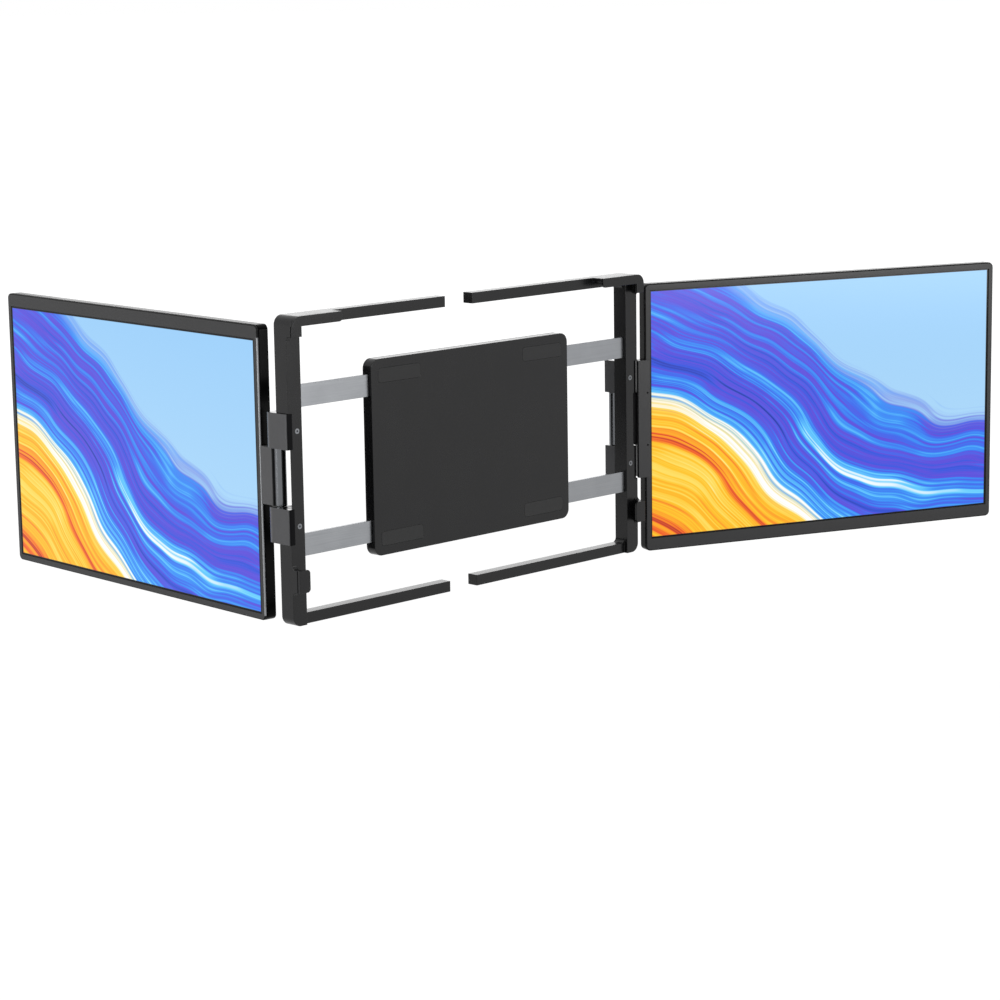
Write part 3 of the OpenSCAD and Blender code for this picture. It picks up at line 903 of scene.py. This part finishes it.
@dataclass(frozen=True)
class SideScreen:
    """One folding screen with its knuckle.

    Attributes:
        facing: Which way it faces.
        paint: The grey of its knuckle's arm, a painted reflection.
        chamfer: Colour of the painted highlight on its bezel's chamfer down the
            right-hand end.
        dimples: Middles of its knuckle's dimples.
    """

    facing: Facing
    paint: MouldedPlastic
    chamfer: str
    dimples: tuple[Triple, ...] = ()

    def build(self, wardrobe: Wardrobe) -> None:
        """Dress this screen's nodes.

        Args:
            wardrobe: The finishes.
        """
        side = self.facing.name.lower()
        layout = Layout.of(f"{side}_display", self.facing)
        chamfer = ChamferPaintedHighlight(f"{side}_chamfer", layout, self.chamfer)
        # the knuckle's arm carries a painted reflection, its groove painted shade
        arm = HingeWithPaintedLight(
            f"{side}_knuckle_paint",
            f"{side}_knuckle",
            self.paint,
            f"{side}_hinge_pin",
            self.dimples,
        )
        finishes = (
            ("knuckle", arm, Edge.FINE, None),
            ("rear_shell", ShellPaintedShadeRim(f"{side}_shell", layout), Edge.SOFT, None),
            ("bezel", BEZEL, Edge.TRIM, chamfer),
            ("display", LitPicture(f"{side}_picture", layout), Edge.NONE, None),
            ("panel_module", PANEL, Edge.NONE, None),
            ("driver_board", BOARD, Edge.NONE, None),
            ("usb_ports", PIN, Edge.NONE, None),
            ("power_button", BUTTON, Edge.HAIR, None),
            ("menu_rocker", BUTTON, Edge.HAIR, None),
            ("shell_screws", SCREW, Edge.NONE, None),
        )
        for piece, style, edge, trim in finishes:
            wardrobe.dress(f"{side}_{piece}", style, edge, trim)


# ---------------------------------------------------------------- studio


@dataclass(frozen=True)
class SoftBox:
    """One area lamp that looks at a point.

    Attributes:
        name: The lamp's name.
        place: Where it hangs, in metres.
        size: Its width and height in metres.
        power: Its power in watts.
        target: The point that it looks at.
    """

    name: str
    place: Triple
    size: tuple[float, float]
    power: float
    target: Triple = (0.0, 0.0, 0.0)

    def build(self) -> None:
        """Add the lamp to the scene."""
        lamp = bpy.data.lights.new(self.name, "AREA")
        lamp.shape = "RECTANGLE"
        lamp.size, lamp.size_y = self.size
        lamp.energy = self.power
        item = bpy.data.objects.new(self.name, lamp)
        item.location = self.place
        aim = Vector(self.target) - Vector(self.place)
        item.rotation_euler = aim.to_track_quat("-Z", "Y").to_euler()
        bpy.context.scene.collection.objects.link(item)
        log.info("lamp %s", self.name)


@dataclass
class Studio:
    """Pale floor, white surroundings, lamps and camera.

    Attributes:
        floor_z: The floor's height in metres.
        floor_size: Its width in metres.
        eye: The camera's place in metres.
        yaw: How far the camera looks to the right of the Y axis, in degrees.
        pitch: How far it looks down, in degrees.
        roll: How far it leans, in degrees.
        focal_pixels: Its focal length in pixels.
        lamps: The lamps.
    """

    floor_z: float = -0.235
    floor_size: float = 300.0
    eye: Triple = (-1.276665, -1.295813, 0.292415)
    yaw: float = 45.086
    pitch: float = 10.306
    roll: float = -0.887
    focal_pixels: float = 2868.015
    lamps: list[SoftBox] = field(
        default_factory=lambda: [
            SoftBox("overhead", (-0.1, 0.1, 1.7), (1.8, 1.8), 13.0),
            SoftBox("left", (-2.0, 0.7, 0.5), (0.7, 1.4), 24.0),
            SoftBox("front", (-0.9, -2.2, 0.9), (1.2, 1.2), 8.0),
            SoftBox("back_sheen", (1.9, 1.5, 0.5), (2.0, 0.8), 6.0),
            SoftBox("right", (0.55, -1.4, 0.12), (0.5, 0.4), 5.0, (0.42, -0.1, -0.05)),
        ]
    )

    @staticmethod
    def _camera_white(
        tree: bpy.types.NodeTree, plain: Any, white: Any
    ) -> bpy.types.NodeSocket:
        """Mix a plain shader with white for what the camera and mirrors see.

        Args:
            tree: The node tree.
            plain: Shader output used for light.
            white: Shader output used for sight.

        Returns:
            The mixed shader.
        """
        path = tree.nodes.new("ShaderNodeLightPath")
        seen = path.outputs["Is Camera Ray"]
        for ray in ("Is Glossy Ray", "Is Transmission Ray"):
            either = tree.nodes.new("ShaderNodeMath")
            either.operation = "MAXIMUM"
            tree.links.new(seen, either.inputs[0])
            tree.links.new(path.outputs[ray], either.inputs[1])
            seen = either.outputs[0]
        blend = tree.nodes.new("ShaderNodeMixShader")
        for socket, source in zip(blend.inputs, (seen, plain, white)):
            tree.links.new(source, socket)
        return blend.outputs[0]

    def _world(self) -> None:
        """Make the white surroundings."""
        world = bpy.data.worlds.new("studio_world")
        world.use_nodes = True
        bpy.context.scene.world = world
        tree = world.node_tree
        tree.nodes.clear()
        shades = (((0.96, 0.97, 1.0, 1.0), 0.25), ((1.0, 1.0, 1.0, 1.0), 1.0))
        plain_and_white = []
        for colour, strength in shades:
            sky = tree.nodes.new("ShaderNodeBackground")
            sky.inputs["Color"].default_value = colour
            sky.inputs["Strength"].default_value = strength
            plain_and_white.append(sky.outputs[0])
        blend = self._camera_white(tree, *plain_and_white)
        out = tree.nodes.new("ShaderNodeOutputWorld")
        tree.links.new(blend, out.inputs["Surface"])

    def _floor(self) -> None:
        """Make the pale floor, which keeps the object's soft shadow."""
        mesh = bpy.data.meshes.new("floor")
        shape = bmesh.new()
        bmesh.ops.create_grid(
            shape,
            x_segments=1,
            y_segments=1,
            size=self.floor_size / 2,
            matrix=Matrix.Translation((0.0, 0.0, self.floor_z)),
        )
        shape.to_mesh(mesh)
        shape.free()
        floor = bpy.data.objects.new("floor", mesh)
        bpy.context.scene.collection.objects.link(floor)
        g = Graph("floor_paint")
        g.set(Base_Color=(0.86, 0.86, 0.86, 1.0), Roughness=0.9)
        base = g.shader.outputs[0]
        # almost white near the object, where its shadow stays, and pure white far off
        far = g.measure("LENGTH", g.place()).smooth(*FLOOR_FAR)
        glow = g.add("ShaderNodeEmission", {}, {"Strength": 1.14})
        half = g.add("ShaderNodeMixShader", {}, (far * 0.2 + 0.8, Wire(g, base), glow))
        blend = self._camera_white(g.tree, base, half.socket)
        g.tree.links.new(blend, g.tree.nodes["Material Output"].inputs["Surface"])
        mesh.materials.append(g.material)

    def _camera(self) -> None:
        """Make the camera and aim it."""
        yaw, pitch, roll = map(math.radians, (self.yaw, self.pitch, self.roll))
        level = math.cos(pitch)
        ahead = Vector((math.sin(yaw) * level, math.cos(yaw) * level, -math.sin(pitch)))
        right = Vector((math.cos(yaw), -math.sin(yaw), 0.0))
        up = right.cross(ahead)
        turned_right = right * math.cos(roll) + up * math.sin(roll)
        turned_up = up * math.cos(roll) - right * math.sin(roll)
        lens = bpy.data.cameras.new("camera")
        lens.sensor_fit = "HORIZONTAL"
        lens.sensor_width = SENSOR
        lens.lens = self.focal_pixels * SENSOR / IMAGE_PIXELS
        lens.clip_start, lens.clip_end = CLIP
        camera = bpy.data.objects.new("camera", lens)
        turn = Matrix((turned_right, turned_up, -ahead)).transposed().to_4x4()
        camera.matrix_world = Matrix.Translation(self.eye) @ turn
        bpy.context.scene.collection.objects.link(camera)
        bpy.context.scene.camera = camera

    def build(self) -> None:
        """Build the whole studio."""
        bpy.context.scene.view_settings.view_transform = "Standard"
        self._camera()
        self._world()
        self._floor()
        for lamp in self.lamps:
            lamp.build()


def main() -> None:
    """Dress every part and set up the studio."""
    logging.basicConfig(level=logging.INFO, format="%(message)s")
    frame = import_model()
    Studio().build()
    wardrobe = Wardrobe(frame["nodes"])
    CentreBody().build(wardrobe)
    for side in ("left", "right"):
        HalfBracket(side).build(wardrobe)
    # Lit and shaded copies: the left screen gets the lighter knuckle grey and chamfer
    # highlight, the right one darker ones, as painted light and shade.
    SideScreen(Facing.LEFT, ALLOY, "9c9ea1").build(wardrobe)
    SideScreen(Facing.RIGHT, ALLOY_IN_PAINTED_SHADE, "2c2d2e", DIMPLES).build(wardrobe)


if __name__ == "__main__":
    main()
